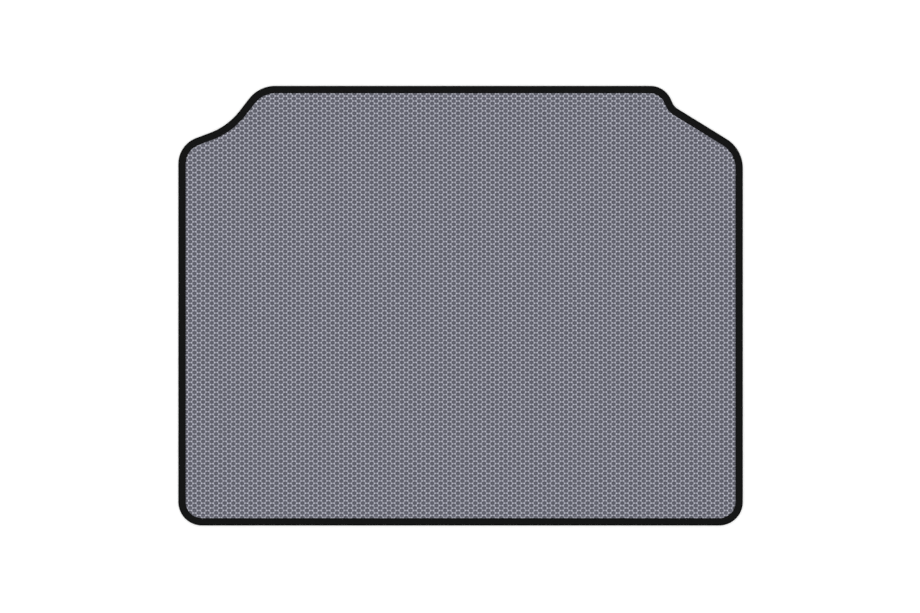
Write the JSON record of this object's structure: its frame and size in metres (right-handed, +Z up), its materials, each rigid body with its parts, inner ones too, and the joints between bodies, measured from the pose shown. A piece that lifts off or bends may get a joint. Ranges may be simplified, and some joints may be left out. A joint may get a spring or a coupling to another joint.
{
  "type": "car boot liner",
  "caption": "Flat honeycomb foam mat with a black fabric edge binding, shaped to cover the floor of a car boot and catch dirt and water.",
  "frame": {"origin": "on the underside, in the middle of the overall width and depth", "axes": "+Z up through the thickness, with the open cells on the upper side; +X along the width, to the right for someone looking in from the tailgate; +Y towards the seat backs, where the two shaped corners are"},
  "size_m": [1.06, 0.8256, 0.01],
  "materials": {
    "foam": "matt grey moulded closed-cell foam, very slightly blue",
    "binding": "black woven polyester tape",
    "thread": "black bonded polyester sewing thread"
  },
  "bodies": {
    "root": {"foam_sheet": "foam", "edge_binding": "binding", "needle_thread": "thread", "bobbin_thread": "thread"}
  },
  "joints": []
}
